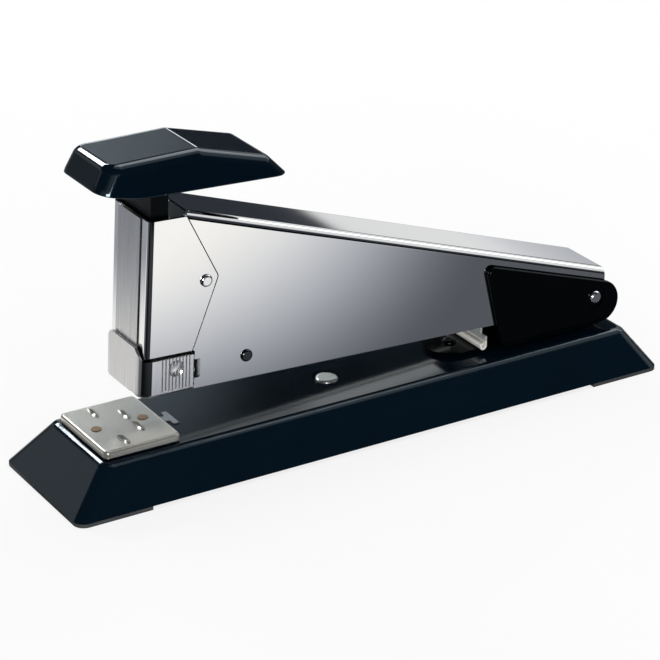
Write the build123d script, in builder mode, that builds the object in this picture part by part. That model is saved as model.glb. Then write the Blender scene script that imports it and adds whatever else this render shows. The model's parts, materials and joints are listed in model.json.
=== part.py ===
"""Desk stapler: steel base, sprung chrome arm, press-down head, staple drawer and turnable anvil.

Millimetres. The origin is on the table under the middle of the base, +X runs to the hinge end, +Z is up.
The arm's pieces are drawn in the arm's own frame, with its origin on the hinge axis and x towards the rear,
and stand tilted by arm_tilt, nose up.
"""
import math
import os

from build123d import *

os.makedirs("parts", exist_ok=True)

# Fits: rivets and pins in their holes, flat faces that slide, round faces that pass each other
fit_gap = 0.05
slide_gap = 0.1
pass_gap = 0.3

# Base: a pressed tray on two feet, with sloped sides and ends
base_length = 177.2
base_width = 42.0
base_top = 12.0
base_top_width = 30.2
front_slope = 10.5
rear_slope = 7.8
base_sheet = 1.6
base_wall = 2.0
base_corner = 3.0
base_edge = 2.6
foot_height = 1.0
foot_plug = 2.0
front_foot_length = 20.4
rear_foot_length = 22.2
stiffener_sheet = 2.0
stiffener_width = 20.0
base_rivet_reach = 78.8

# Hinge and arm
hinge_setback = 15.4
hinge_z = 21.3
pin_radius = 1.4
pin_head_radius = 1.9
arm_tilt = 2.5
arm_width = 18.8
arm_sheet = 1.0
arm_bottom = -2.8
arm_tail = 4.6
roof_end = 3.8
roof_at_hinge = 8.3
roof_rise = 1.5
shoulder = 2.0

# Nose: its level ends, the rake and raised panel of its front and the rounded tip of its wings
nose_lead = 0.75
nose_rake = 0.6
nose_bottom = 7.6
nose_top = 43.3
nose_corner = 1.5
nose_panel = 11.3
nose_step = 0.4
seam_gap = 0.3
seam_round = 1.5

# Bracket: floor and ears
ear_sheet = 1.2
ear_end_radius = 6.2
ear_end_setback = 1.9
ear_drop = 2.1
ear_corner = 2.0
ear_edge = 0.6
ear_top = 37.2
ear_bend = 2.4
tongue_width = 15.0
tongue_reach = 40.2

# Anvil
anvil_setback = 22.35
anvil_length = 21.2
anvil_width = 25.8
anvil_rise = 0.5
anvil_height = 1.8
groove_offset = 3.2
groove_width = 2.2
groove_depth = 0.6

# Staples and drawer
staple_width = 12.9
staple_height = 6.4
staple_wire = 0.5
drawer_sheet = 0.5
drawer_bottom = -3.0
drawer_top = 5.5
drawer_end = -40.5
strip_length = 40.0
pusher_length = 10.0
cap_lead = 1.5
cap_length = 14.5
cap_width = 20.4
cap_top = 6.9
cap_corner = 3.4
plate_top = 9.85
plate_width = 12.8

# Head
head_width = 22.4
head_draft = 1.0
head_wall = 2.0
head_skin = 1.5
head_edge = 2.7
head_corner = 4.2
head_chin = 6.0
head_lift = 7.1
neck_length = 4.8
neck_width = 15.4
blade_sheet = 0.6
blade_width = 12.4

# Spring wire
return_wire = 0.7
return_radius = 2.6
pusher_wire = 0.45
pusher_coil_radius = 1.75
leaf_sheet = 0.6
leaf_width = 14.0
leaf_foot_width = 18.6
leaf_foot_height = 3.9

# Places along the base, and along the arm from the hinge
hinge_x = base_length / 2 - hinge_setback
base_rivet_x = hinge_x - base_rivet_reach
bracket_rivet_front = hinge_x - tongue_reach
bracket_rivet_rear = hinge_x - 13.8
ear_front = hinge_x - 35.4
ear_foot_front = hinge_x - 29.9
ear_foot_rear = hinge_x - 3.8
leaf_x = hinge_x - 34.7
anvil_x = -base_length / 2 + anvil_setback
latch_bar_x = anvil_x + 14.2
latch_tab_x = anvil_x + 8.2
nose_front = anvil_x + groove_offset - hinge_x - nose_lead
nose_foot = nose_front - nose_rake
seam_foot = (nose_front + 13.0, nose_bottom)
seam_point = (nose_front + 19.8, 26.4)
seam_head = (nose_front + 10.7, nose_top)
nose_rivet = (nose_front + 16.5, 25.7)
frame_rivet = (nose_front + 28.6, 3.3)
cap_front = nose_front - cap_lead
cap_rear = cap_front + cap_length
head_bottom = nose_top + head_lift


def turned(x, z):
    """The direction that x along the arm and z up the nose make on the tilted arm."""
    lean = math.radians(arm_tilt)
    return Vector(x * math.cos(lean) + z * math.sin(lean), 0, z * math.cos(lean) - x * math.sin(lean))


hinge = Vector(hinge_x, 0, hinge_z)
arm_side = Plane(origin=hinge, x_dir=turned(1, 0), z_dir=(0, -1, 0))
arm_plan = Plane(origin=hinge, x_dir=turned(1, 0), z_dir=turned(0, 1))


def along(x, z=0.0):
    """A plane across the arm at a point, facing the rear, with its own x across the arm and y up the nose."""
    return Plane(origin=hinge + turned(x, z), x_dir=(0, 1, 0), z_dir=turned(1, 0))


def arc_middle(start, heading, end):
    """The middle of the arc that leaves start along a heading and ends at end."""
    chord = end - start
    side = heading - chord * (heading.dot(chord) / chord.dot(chord))
    bend = math.atan2(side.length, heading.dot(chord) / chord.length)
    return start + chord / 2 + side.normalized() * (chord.length / 2 * math.tan(bend / 2))


def coil(plane, radius, wire, length, turns):
    """A round-wire spring on a plane, a length long, drawn as tangent arcs, two to each quarter turn."""
    quarters = turns * 4
    low = wire / 2 + fit_gap
    rise = (length - 2 * low) / quarters
    points = []
    headings = []
    for n in range(quarters + 1):
        turn = n * math.pi / 2
        out = plane.x_dir * math.cos(turn) + plane.y_dir * math.sin(turn)
        on = plane.y_dir * math.cos(turn) - plane.x_dir * math.sin(turn)
        points.append(plane.origin + out * radius + plane.z_dir * (low + n * rise))
        headings.append((on * radius + plane.z_dir * (rise / (math.pi / 2))).normalized())
    print("spring: least gap between turns", round((points[4] - points[0]).length - wire, 2))
    chord = points[1] - points[0]
    sum_along = chord.dot(headings[0] + headings[1])
    bend = 2 * (headings[0].dot(headings[1]) - 1)
    reach = (sum_along - math.sqrt(sum_along**2 - bend * chord.dot(chord))) / bend
    with BuildPart() as spring:
        with BuildLine() as path:
            for n in range(quarters):
                first = points[n] + headings[n] * reach
                last = points[n + 1] - headings[n + 1] * reach
                joint = (first + last) / 2
                onward = (last - first).normalized()
                ThreePointArc(points[n], arc_middle(points[n], headings[n], joint), joint)
                ThreePointArc(joint, arc_middle(joint, onward, points[n + 1]), points[n + 1])
        with BuildSketch(Plane(origin=points[0], z_dir=headings[0])):
            Circle(wire / 2)
        sweep(path=path.line)
    return spring.part


def rivet(plane, shank, head, dome, grip, tail=0.0):
    """A rivet with its domed head on a plane, its shank run back through a grip and, if set, an upset tail."""
    with BuildPart(plane) as piece:
        Cylinder(shank, grip + tail, align=(Align.CENTER, Align.CENTER, Align.MAX))
        Cylinder(head, dome, align=(Align.CENTER, Align.CENTER, Align.MIN))
        fillet(piece.edges().sort_by(Axis(plane.origin, plane.z_dir))[-1], dome * 0.9)
        if tail:
            with BuildSketch(plane.offset(-grip)):
                Circle((shank + head) / 2)
            extrude(amount=-tail)
    return piece.part


def outline(height, inset=0.0):
    """Middle, length and width of the base tray at a height, drawn in by an inset on every side."""
    share = (height - foot_height) / (base_top - foot_height)
    front = -base_length / 2 + share * front_slope + inset
    rear = base_length / 2 - share * rear_slope - inset
    width = base_width - share * (base_width - base_top_width) - 2 * inset
    return (front + rear) / 2, rear - front, width


# Base shell: a tray open below, with holes for the anvil stud, the latch and the rivets
stud_radius = 3.0
rivet_radius = 1.1
base_rivet_radius = 2.0
dimple_radius = 4.2
dimple_depth = 0.5
latch_sheet = 0.3
latch_tab = (0.8, 3.0)
base_underside = base_top - base_sheet
with BuildPart() as base_shell:
    for height in (foot_height, base_top):
        middle, length, width = outline(height)
        with BuildSketch(Plane.XY.offset(height)):
            with Locations((middle, 0)):
                RectangleRounded(length, width, base_corner)
    loft(ruled=True)
    fillet(base_shell.faces().sort_by(Axis.Z)[-1].edges(), base_edge)
    for height in (foot_height, base_underside):
        middle, length, width = outline(height, base_wall)
        with BuildSketch(Plane.XY.offset(height)):
            with Locations((middle, 0)):
                RectangleRounded(length, width, base_corner / 2)
    loft(ruled=True, mode=Mode.SUBTRACT)
    with BuildSketch(Plane.XY.offset(base_top)):
        with Locations((anvil_x, 0)):
            Circle(stud_radius + fit_gap)
        with Locations((bracket_rivet_front, 0), (bracket_rivet_rear, 0)):
            Circle(rivet_radius + fit_gap)
        with Locations((base_rivet_x, 0)):
            Circle(base_rivet_radius + fit_gap)
        with Locations((latch_tab_x, 0)):
            Rectangle(latch_tab[0] + 2 * fit_gap, latch_tab[1] + 2 * fit_gap)
    extrude(amount=-base_sheet, mode=Mode.SUBTRACT)
    with BuildSketch(Plane.XY.offset(base_top)):
        with Locations((base_rivet_x, 0)):
            Circle(dimple_radius)
    extrude(amount=-dimple_depth, mode=Mode.SUBTRACT)
base_shell.part.label = "base_shell"
export_step(base_shell.part, "parts/base_shell.step")


def foot(first, last):
    """A rubber pad under one end of the base, with a plug that stands inside the tray's rim."""
    with BuildPart() as pad:
        with BuildSketch():
            RectangleRounded(base_length, base_width, base_corner)
            with Locations(((first + last) / 2, 0)):
                Rectangle(last - first, base_width, mode=Mode.INTERSECT)
        extrude(amount=foot_height)
        middle, length, width = outline(foot_height + foot_plug, base_wall + pass_gap)
        with BuildSketch(Plane.XY.offset(foot_height)):
            with Locations((middle, 0)):
                Rectangle(length, width)
            with Locations(((first + last) / 2, 0)):
                Rectangle(last - first - 2 * foot_plug, width, mode=Mode.INTERSECT)
        extrude(amount=foot_plug)
    return pad.part


# Feet
front_foot = foot(-base_length / 2, -base_length / 2 + front_foot_length)
front_foot.label = "front_foot"
export_step(front_foot, "parts/front_foot.step")

rear_foot = foot(base_length / 2 - rear_foot_length, base_length / 2)
rear_foot.label = "rear_foot"
export_step(rear_foot, "parts/rear_foot.step")

# Stiffener: a flat bar under the base top that the base rivet and the bracket rivets hold
stiffener_front = base_rivet_x - stiffener_width / 2
stiffener_rear = bracket_rivet_rear + stiffener_width / 2
with BuildPart() as base_stiffener:
    with BuildSketch(Plane.XY.offset(base_underside)):
        with Locations(((stiffener_front + stiffener_rear) / 2, 0)):
            Rectangle(stiffener_rear - stiffener_front, stiffener_width)
        with Locations((bracket_rivet_front, 0), (bracket_rivet_rear, 0)):
            Circle(rivet_radius + fit_gap, mode=Mode.SUBTRACT)
        with Locations((base_rivet_x, 0)):
            Circle(base_rivet_radius + fit_gap, mode=Mode.SUBTRACT)
    extrude(amount=-stiffener_sheet)
base_stiffener.part.label = "base_stiffener"
export_step(base_stiffener.part, "parts/base_stiffener.step")

# Base rivet: a broad low head in its dimple
base_rivet_head = 3.1
base_rivet_dome = 0.8
base_rivet = rivet(
    Plane((base_rivet_x, 0, base_top - dimple_depth)),
    base_rivet_radius,
    base_rivet_head,
    base_rivet_dome,
    base_sheet - dimple_depth + stiffener_sheet,
    base_rivet_dome,
)
base_rivet.label = "base_rivet"
export_step(base_rivet, "parts/base_rivet.step")

# Hinge bracket: a floor with a forward tongue, bent up into an ear on each side of the arm
ear_inner = arm_width / 2 + pass_gap
ear_outer = ear_inner + ear_sheet
pin_recess = 0.4
pin_recess_radius = 3.3
floor_top = base_top + ear_sheet
with BuildPart() as hinge_bracket:
    with BuildSketch(Plane.YZ.offset(ear_front)):
        ear_depth = 2 * (ear_top - base_top)
        with Locations((0, base_top + ear_depth / 2)):
            RectangleRounded(2 * ear_outer, ear_depth, ear_bend)
        with Locations((0, floor_top + ear_depth / 2)):
            RectangleRounded(2 * ear_inner, ear_depth, ear_bend - ear_sheet, mode=Mode.SUBTRACT)
    extrude(amount=base_length)
    with BuildSketch(Plane.XZ):
        with Locations((hinge_x + ear_end_setback, hinge_z - ear_drop)):
            Circle(ear_end_radius)
        with Locations((ear_front + ear_corner, ear_top - ear_corner)):
            Circle(ear_corner)
        with BuildLine():
            Line((ear_foot_front, base_top), (ear_foot_rear, base_top))
        make_hull()
    extrude(amount=ear_outer, both=True, mode=Mode.INTERSECT)
    ear_rims = hinge_bracket.edges().filter_by(
        lambda e: abs(e.center().Y) > ear_outer - fit_gap and e.center().Z > base_top + ear_bend + fit_gap
    )
    fillet(ear_rims, ear_edge)
    with BuildSketch(Plane.XY.offset(base_top)):
        with Locations(((bracket_rivet_front + bracket_rivet_rear) / 2, 0)):
            Rectangle(bracket_rivet_rear - bracket_rivet_front, tongue_width)
        with Locations((bracket_rivet_front, 0)):
            Circle(tongue_width / 2)
    extrude(amount=ear_sheet)
    with BuildSketch(Plane.XY.offset(base_top)):
        with Locations((bracket_rivet_front, 0), (bracket_rivet_rear, 0)):
            Circle(rivet_radius + fit_gap)
    extrude(amount=ear_sheet, mode=Mode.SUBTRACT)
    with BuildSketch(Plane.XZ):
        with Locations((hinge_x, hinge_z)):
            Circle(pin_radius + fit_gap)
    extrude(amount=ear_outer, both=True, mode=Mode.SUBTRACT)
    for side in (-1, 1):
        with BuildSketch(Plane.XZ.offset(side * ear_outer)):
            with Locations((hinge_x, hinge_z)):
                Circle(pin_recess_radius)
        extrude(amount=-side * pin_recess, mode=Mode.SUBTRACT)
hinge_bracket.part.label = "hinge_bracket"
export_step(hinge_bracket.part, "parts/hinge_bracket.step")

# Bracket rivets: through the bracket floor, the base top and the stiffener
rivet_head = 1.9
rivet_dome = 0.8
with BuildPart() as bracket_rivets:
    for x in (bracket_rivet_front, bracket_rivet_rear):
        grip = ear_sheet + base_sheet + stiffener_sheet
        add(rivet(Plane((x, 0, floor_top)), rivet_radius, rivet_head, rivet_dome, grip, rivet_dome))
bracket_rivets.part.label = "bracket_rivets"
export_step(bracket_rivets.part, "parts/bracket_rivets.step")

# Hinge pin: a shank through both ears, the arm and the bush, with a domed head at each end
pin_dome = 1.1
with BuildPart() as hinge_pin:
    near_face = Plane(origin=hinge - Vector(0, ear_outer - pin_recess, 0), x_dir=(1, 0, 0), z_dir=(0, -1, 0))
    add(rivet(near_face, pin_radius, pin_head_radius, pin_dome, ear_outer - pin_recess))
    mirror(about=Plane.XZ)
hinge_pin.part.label = "hinge_pin"
export_step(hinge_pin.part, "parts/hinge_pin.step")

# Anvil latch: a thin T-shaped tongue on the base top, hooked down through its slot
latch_bar = (1.6, 7.2)
with BuildPart() as anvil_latch:
    with BuildSketch(Plane.XY.offset(base_top)):
        with Locations((latch_bar_x, 0)):
            Rectangle(*latch_bar)
        with Locations(((latch_tab_x - latch_tab[0] / 2 + latch_bar_x) / 2, 0)):
            Rectangle(latch_bar_x - latch_tab_x + latch_tab[0] / 2, latch_tab[1])
    extrude(amount=latch_sheet)
    with BuildSketch(Plane.XY.offset(base_top)):
        with Locations((latch_tab_x, 0)):
            Rectangle(*latch_tab)
    extrude(amount=-base_sheet - latch_tab[0])
anvil_latch.part.label = "anvil_latch"
export_step(anvil_latch.part, "parts/anvil_latch.step")

# Anvil plate: scooped grooves on the clinching side, outward grooves on the pinning side
anvil_under = base_top + anvil_rise
anvil_top = anvil_under + anvil_height
flange_radius = 8.4
flange_sheet = 0.8
anvil_rivet_offset = 6.5
anvil_rivet_radius = 1.35
clinch_reach = (0.6, 6.8)
pinning_reach = (5.6, 11.4)


def round_of(chord):
    """The radius of an arc that is a chord wide and as deep as a groove."""
    return chord**2 / (8 * groove_depth) + groove_depth / 2


def scoop(x, reach):
    """A boat-shaped groove on each side of the plate's middle line at x, between two distances from it."""
    radius = round_of(reach[1] - reach[0])
    section = round_of(groove_width)
    height = anvil_top - groove_depth + radius
    with BuildPart() as cut:
        for y in (sum(reach) / 2, -sum(reach) / 2):
            with Locations(Location((x, y, height), (0, 90, 0))):
                Torus(radius - section, section)
    return cut.part


with BuildPart() as anvil_plate:
    with BuildSketch(Plane.XY.offset(anvil_under)):
        with Locations((anvil_x, 0)):
            RectangleRounded(anvil_length, anvil_width, 1.4)
    extrude(amount=anvil_height)
    fillet(anvil_plate.faces().sort_by(Axis.Z)[-1].edges(), 0.7)
    with BuildSketch(Plane.XY.offset(anvil_under)):
        with Locations((anvil_x, 0)):
            Circle(flange_radius + fit_gap)
    extrude(amount=flange_sheet, mode=Mode.SUBTRACT)
    with BuildSketch(Plane.XY.offset(anvil_under)):
        with Locations((anvil_x - anvil_rivet_offset, 0), (anvil_x + anvil_rivet_offset, 0)):
            Circle(anvil_rivet_radius + fit_gap)
    extrude(amount=anvil_height, mode=Mode.SUBTRACT)
    add(scoop(anvil_x + groove_offset, clinch_reach), mode=Mode.SUBTRACT)
    add(scoop(anvil_x - groove_offset, pinning_reach), mode=Mode.SUBTRACT)
anvil_plate.part.label = "anvil_plate"
export_step(anvil_plate.part, "parts/anvil_plate.step")

# Anvil pivot: a flange in the plate's underside and a stud down through the base top
stud_end = 3.4
clip_low = 4.2
clip_sheet = 0.8
clip_groove = 0.6
with BuildPart() as anvil_pivot:
    with BuildSketch(Plane.XY.offset(anvil_under)):
        with Locations((anvil_x, 0)):
            Circle(flange_radius)
        with Locations((anvil_x - anvil_rivet_offset, 0), (anvil_x + anvil_rivet_offset, 0)):
            Circle(anvil_rivet_radius + fit_gap, mode=Mode.SUBTRACT)
    extrude(amount=flange_sheet)
    with BuildSketch(Plane.XY.offset(stud_end)):
        with Locations((anvil_x, 0)):
            Circle(stud_radius)
    extrude(amount=anvil_under - stud_end)
    with BuildSketch(Plane.XY.offset(clip_low)):
        with Locations((anvil_x, 0)):
            Circle(stud_radius)
            Circle(stud_radius - clip_groove, mode=Mode.SUBTRACT)
    extrude(amount=clip_sheet, mode=Mode.SUBTRACT)
anvil_pivot.part.label = "anvil_pivot"
export_step(anvil_pivot.part, "parts/anvil_pivot.step")

# Anvil rivets: low copper heads on the plate, through the flange
anvil_rivet_dome = 0.15
with BuildPart() as anvil_rivets:
    with BuildSketch(Plane.XY.offset(anvil_under)):
        with Locations((anvil_x - anvil_rivet_offset, 0), (anvil_x + anvil_rivet_offset, 0)):
            Circle(anvil_rivet_radius)
    extrude(amount=anvil_height + anvil_rivet_dome)
anvil_rivets.part.label = "anvil_rivets"
export_step(anvil_rivets.part, "parts/anvil_rivets.step")

# Anvil clip: an open ring in the stud's groove
clip_radius = 4.8
with BuildPart() as anvil_clip:
    with BuildSketch(Plane.XY.offset(clip_low)):
        with Locations((anvil_x, 0)):
            Circle(clip_radius)
            Circle(stud_radius - clip_groove + fit_gap, mode=Mode.SUBTRACT)
        with Locations((anvil_x - clip_radius, 0)):
            Rectangle(2 * clip_radius, stud_radius, mode=Mode.SUBTRACT)
    extrude(amount=clip_sheet)
anvil_clip.part.label = "anvil_clip"
export_step(anvil_clip.part, "parts/anvil_clip.step")

# Anvil washer and spring: between the clip and the base underside
washer_sheet = 0.8
washer_radius = 6.2
washer_low = clip_low + clip_sheet
anvil_wire = 0.9
with BuildPart() as anvil_washer:
    with BuildSketch(Plane.XY.offset(washer_low)):
        with Locations((anvil_x, 0)):
            Circle(washer_radius)
            Circle(stud_radius + pass_gap, mode=Mode.SUBTRACT)
    extrude(amount=washer_sheet)
anvil_washer.part.label = "anvil_washer"
export_step(anvil_washer.part, "parts/anvil_washer.step")

spring_low = washer_low + washer_sheet
anvil_spring = coil(
    Plane((anvil_x, 0, spring_low)), stud_radius + 2 * anvil_wire, anvil_wire, base_underside - spring_low, 2
)
anvil_spring.label = "anvil_spring"
export_step(anvil_spring, "parts/anvil_spring.step")

# Hinge bush: a sleeve on the hinge pin between the arm's walls
bush_radius = 2.6
bush_half = arm_width / 2 - arm_sheet - slide_gap
with BuildPart() as hinge_bush:
    with BuildSketch(Plane.XZ):
        with Locations((hinge_x, hinge_z)):
            Circle(bush_radius)
            Circle(pin_radius + fit_gap, mode=Mode.SUBTRACT)
    extrude(amount=bush_half, both=True)
hinge_bush.part.label = "hinge_bush"
export_step(hinge_bush.part, "parts/hinge_bush.step")

# Lift spring: a leaf rolled round the bush, run forward inside the arm and down to a broad rolled foot
leaf_bend = 4.0
eye_radius = bush_radius + fit_gap + leaf_sheet / 2
roll_radius = 0.75
leaf_run = hinge_z + eye_radius
roll_z = floor_top + slide_gap + leaf_sheet / 2 + roll_radius
with BuildPart() as lift_spring:
    with BuildSketch(Plane.XZ):
        with BuildLine():
            CenterArc((hinge_x, hinge_z), eye_radius, -150, 240)
            Line((hinge_x, leaf_run), (leaf_x + leaf_bend, leaf_run))
            CenterArc((leaf_x + leaf_bend, leaf_run - leaf_bend), leaf_bend, 90, 90)
            Line((leaf_x, leaf_run - leaf_bend), (leaf_x, roll_z))
            CenterArc((leaf_x - roll_radius, roll_z), roll_radius, 0, -260)
        trace(line_width=leaf_sheet)
    extrude(amount=leaf_width / 2, both=True)
    with BuildSketch(Plane.XZ):
        with BuildLine():
            Line((leaf_x, floor_top + leaf_foot_height), (leaf_x, roll_z))
            CenterArc((leaf_x - roll_radius, roll_z), roll_radius, 0, -260)
        trace(line_width=leaf_sheet)
    extrude(amount=leaf_foot_width / 2, both=True)
lift_spring.part.label = "lift_spring"
export_step(lift_spring.part, "parts/lift_spring.step")

# Arm shell: a channel folded over the roof line, trimmed to the pointed seam, the thumb notch and the tail
roof_lean = math.atan2(nose_top + roof_rise - roof_at_hinge, -seam_head[0])
roof_section = Plane(
    origin=hinge + turned(0, roof_at_hinge),
    x_dir=(0, 1, 0),
    z_dir=turned(math.cos(roof_lean), -math.sin(roof_lean)),
)
arm_front = cap_rear + 0.8
notch_depth = 1.6
notch_low = 0.0
notch_high = 5.1
notch_round = 0.6
side_rivet_radius = 1.0
lip_reach = 2.4
lip_drop = 3.4
arm_high = nose_top + 2 * arm_width
arm_depth = 2 * (nose_top - arm_bottom)
tail_angle = math.degrees(math.asin(arm_bottom / arm_tail))
tail_rise = 30.0 - tail_angle
with BuildPart() as arm_shell:
    with BuildSketch(roof_section):
        with Locations((0, -arm_depth / 2)):
            RectangleRounded(arm_width, arm_depth, shoulder)
        with Locations((0, -arm_depth / 2 - arm_sheet)):
            RectangleRounded(arm_width - 2 * arm_sheet, arm_depth, shoulder - arm_sheet, mode=Mode.SUBTRACT)
    extrude(amount=-2 * nose_front, both=True)
    with BuildSketch(arm_side) as arm_outline:
        with BuildLine():
            tail = CenterArc((0, 0), arm_tail, tail_angle, tail_rise)
            Polyline(
                tail @ 1,
                (roof_end, roof_at_hinge - shoulder),
                (roof_end, arm_high),
                (seam_head[0] + seam_gap, arm_high),
                (seam_head[0] + seam_gap, nose_top),
                (seam_point[0] + seam_gap, seam_point[1]),
                (seam_foot[0] + seam_gap, nose_bottom),
                (arm_front, nose_bottom - seam_gap),
                (arm_front, notch_high),
                (arm_front + notch_depth, notch_high),
                (arm_front + notch_depth, notch_low),
                (arm_front, notch_low),
                (arm_front, arm_bottom),
                tail @ 0,
            )
        make_face()
        fillet(arm_outline.vertices().sort_by_distance((seam_point[0], seam_point[1], 0))[0], seam_round)
        for height in (notch_low, notch_high):
            notch_corner = (arm_front + notch_depth, height, 0)
            fillet(arm_outline.vertices().sort_by_distance(notch_corner)[0], notch_round)
        with Locations((0, 0)):
            Circle(pin_radius + fit_gap, mode=Mode.SUBTRACT)
        with Locations(frame_rivet):
            Circle(side_rivet_radius + fit_gap, mode=Mode.SUBTRACT)
    extrude(amount=arm_width, both=True, mode=Mode.INTERSECT)
    with BuildSketch(arm_side):
        lip_top = roof_at_hinge - math.tan(roof_lean) * seam_head[0] - arm_sheet / 2
        lip_rear = seam_head[0] + seam_gap + arm_sheet
        Polygon(
            (lip_rear, lip_top),
            (lip_rear - lip_reach, lip_top - lip_drop),
            (lip_rear - lip_reach - arm_sheet, lip_top - lip_drop),
            (lip_rear - arm_sheet, lip_top),
            align=None,
        )
    extrude(amount=arm_width / 2 - arm_sheet - slide_gap, both=True)
arm_shell.part.label = "arm_shell"
export_step(arm_shell.part, "parts/arm_shell.step")

# Nose shell: a channel open to the rear, with a raked and raised front panel and a pointed wing on each side
strip_front = nose_foot + nose_step
with BuildPart() as nose_shell:
    with BuildSketch(arm_plan.offset(nose_bottom)) as nose_plan:
        Polygon(
            (nose_foot, -nose_panel / 2),
            (strip_front, -nose_panel / 2 - nose_step),
            (strip_front, -arm_width / 2),
            (0, -arm_width / 2),
            (0, arm_width / 2),
            (strip_front, arm_width / 2),
            (strip_front, nose_panel / 2 + nose_step),
            (nose_foot, nose_panel / 2),
            align=None,
        )
        for side in (-1, 1):
            front_corner = (strip_front, side * arm_width / 2, 0)
            fillet(nose_plan.vertices().sort_by_distance(front_corner)[0], nose_corner)
        inside = arm_width - 2 * arm_sheet
        RectangleRounded(-2 * (nose_foot + arm_sheet), inside, nose_corner - arm_sheet, mode=Mode.SUBTRACT)
    nose_height = nose_top - nose_bottom
    extrude(amount=math.hypot(nose_rake, nose_height), dir=turned(nose_rake, nose_height))
    with BuildSketch(arm_side) as nose_outline:
        with BuildLine():
            Polyline(
                (cap_front, nose_bottom),
                seam_foot,
                seam_point,
                seam_head,
                (cap_front, nose_top),
                close=True,
            )
        make_face()
        fillet(nose_outline.vertices().sort_by_distance((seam_point[0], seam_point[1], 0))[0], seam_round)
        with Locations(nose_rivet):
            Circle(side_rivet_radius + fit_gap, mode=Mode.SUBTRACT)
    extrude(amount=arm_width, both=True, mode=Mode.INTERSECT)
nose_shell.part.label = "nose_shell"
export_step(nose_shell.part, "parts/nose_shell.step")

# Inner frame: two side plates that tie nose and arm, with drawer lips and the return spring's seat
frame_sheet = 0.6
frame_outer = arm_width / 2 - arm_sheet
frame_inner = frame_outer - frame_sheet
blade_front = nose_front + arm_sheet + slide_gap
blade_rear = blade_front + blade_sheet
frame_front = nose_front + arm_sheet + nose_corner
frame_end = drawer_end + 0.5
frame_low = arm_bottom + 0.4
frame_rear_top = 8.5
frame_nose_top = nose_top - 5.3
seat_low = nose_bottom + 0.2
seat_sheet = 0.8
seat_rear = nose_front + 9.7
drawer_half = staple_width / 2 + slide_gap + drawer_sheet
lip_sheet = 0.9
lip_high = drawer_top - drawer_sheet - slide_gap
with BuildPart() as inner_frame:
    with BuildSketch(arm_side.offset(frame_inner)):
        with BuildLine():
            Polyline(
                (frame_front, seat_low),
                (frame_front, frame_nose_top),
                (seat_rear, frame_nose_top),
                (frame_rivet[0], frame_rear_top),
                (frame_end, frame_rear_top),
                (frame_end, frame_low),
                (arm_front + notch_depth, frame_low),
                (arm_front + notch_depth, seat_low),
                close=True,
            )
        make_face()
        with Locations(nose_rivet, frame_rivet):
            Circle(side_rivet_radius + fit_gap, mode=Mode.SUBTRACT)
    extrude(amount=frame_sheet)
    with BuildSketch(arm_side.offset(drawer_half + slide_gap)):
        with Locations((arm_front + notch_depth, lip_high)):
            Rectangle(frame_end - arm_front - notch_depth, lip_sheet, align=(Align.MIN, Align.MAX))
    extrude(amount=frame_inner - drawer_half - slide_gap)
    mirror(about=Plane.XZ)
    with BuildSketch(arm_plan.offset(seat_low)):
        with Locations(((frame_front + seat_rear) / 2, 0)):
            Rectangle(seat_rear - frame_front, 2 * frame_inner)
    extrude(amount=seat_sheet)
inner_frame.part.label = "inner_frame"
export_step(inner_frame.part, "parts/inner_frame.step")

# Side rivets: one pair through the nose wings, one pair through the arm walls
side_rivet_head = 1.65
side_rivet_dome = 0.7
side_tail = 0.4


def side_rivets(place, tail):
    """A rivet through the near wall at a place on the arm, and its mirror image through the far wall."""
    with BuildPart() as pair:
        face = Plane(
            origin=hinge + turned(*place) - Vector(0, arm_width / 2, 0), x_dir=turned(1, 0), z_dir=(0, -1, 0)
        )
        add(rivet(face, side_rivet_radius, side_rivet_head, side_rivet_dome, arm_sheet + frame_sheet, tail))
        mirror(about=Plane.XZ)
    return pair.part


nose_rivets = side_rivets(nose_rivet, side_tail)
nose_rivets.label = "nose_rivets"
export_step(nose_rivets, "parts/nose_rivets.step")

frame_rivets = side_rivets(frame_rivet, 0.0)
frame_rivets.label = "frame_rivets"
export_step(frame_rivets, "parts/frame_rivets.step")

# Plunger: the neck under the head, with a foot on the return spring
plunger_drop = 13.3
plunger_foot_height = 7.0
plunger_foot_reach = 9.1
plunger_seat = 5.6
driver_rivet_rise = 3.5
head_pin_rise = 3.0
plunger_low = nose_top - plunger_drop
plunger_foot_top = plunger_low + plunger_foot_height
plunger_foot_rear = nose_front + plunger_foot_reach
plunger_top = head_bottom + plunger_seat
plunger_half = neck_width / 2
neck_rear = blade_rear + neck_length
driver_rivet_z = plunger_low + driver_rivet_rise
driver_rivet_y = 3.0
driver_rivet_radius = 1.0
head_pin_z = head_bottom + head_pin_rise
head_pin_radius = 1.0
with BuildPart() as plunger:
    with BuildSketch(arm_side):
        with BuildLine():
            Polyline(
                (blade_rear, plunger_low),
                (plunger_foot_rear, plunger_low),
                (plunger_foot_rear, plunger_foot_top),
                (neck_rear, plunger_foot_top),
                (neck_rear, plunger_top),
                (blade_rear, plunger_top),
                close=True,
            )
        make_face()
    extrude(amount=plunger_half, both=True)
    with BuildSketch(along(blade_rear)):
        with Locations((-driver_rivet_y, driver_rivet_z), (driver_rivet_y, driver_rivet_z)):
            Circle(driver_rivet_radius + fit_gap)
    extrude(amount=neck_rear - blade_rear, mode=Mode.SUBTRACT)
    with BuildSketch(along(blade_rear)):
        with Locations((0, head_pin_z)):
            Circle(head_pin_radius + fit_gap)
    extrude(amount=neck_rear - blade_rear, mode=Mode.SUBTRACT)
plunger.part.label = "plunger"
export_step(plunger.part, "parts/plunger.step")

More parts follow.
